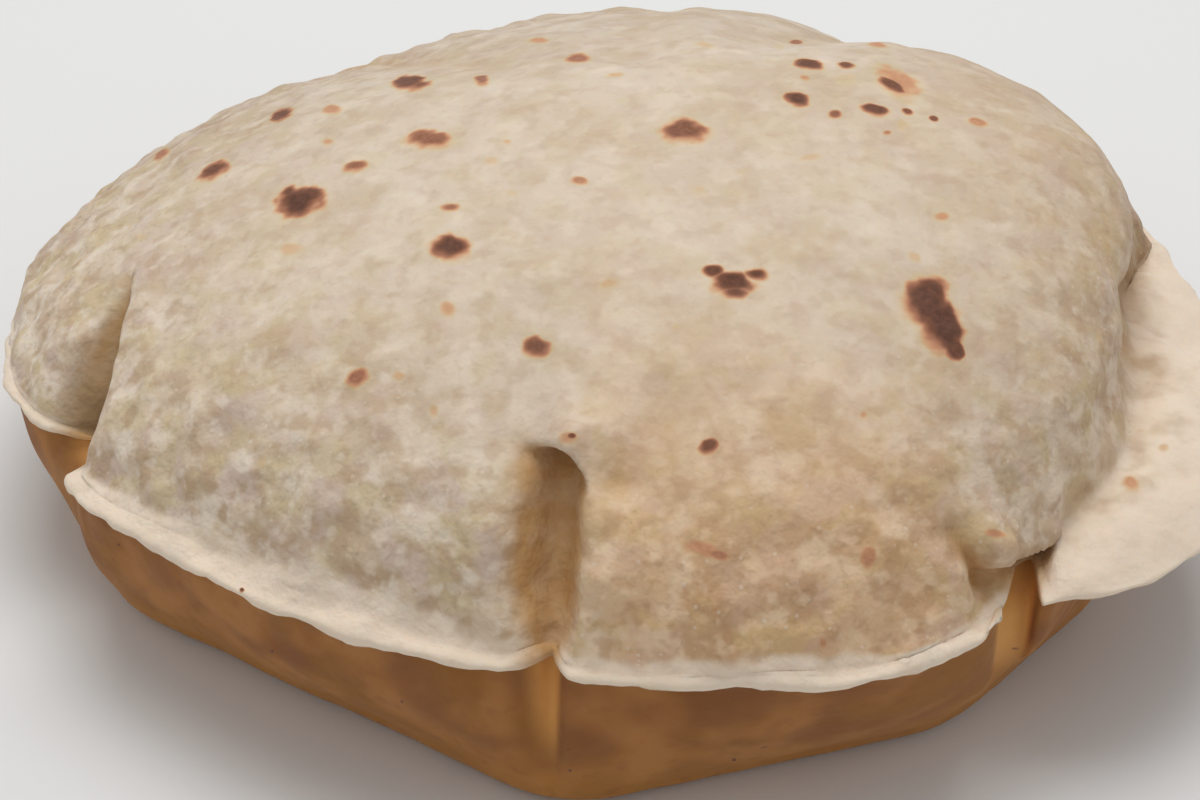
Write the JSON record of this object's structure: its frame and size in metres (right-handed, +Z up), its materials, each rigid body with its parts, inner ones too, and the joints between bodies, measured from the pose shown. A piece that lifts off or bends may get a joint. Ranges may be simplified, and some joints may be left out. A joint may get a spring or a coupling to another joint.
{
  "type": "phulka",
  "caption": "Puffed round flatbread with a high domed upper skin, a thin lip round its seam, deep folds in its wall, a flap at one side and toasted char spots.",
  "frame": {"origin": "on the flat face that the bread rests on, under the middle of its box", "axes": "+Z up, +X towards the flap, -Y towards the lobes with the deep folds between them"},
  "size_m": [0.1786, 0.1662, 0.0636],
  "materials": {
    "baked_dough": "matt, floury, with toasted spots"
  },
  "bodies": {
    "root": {"phulka": "baked_dough"}
  },
  "joints": []
}
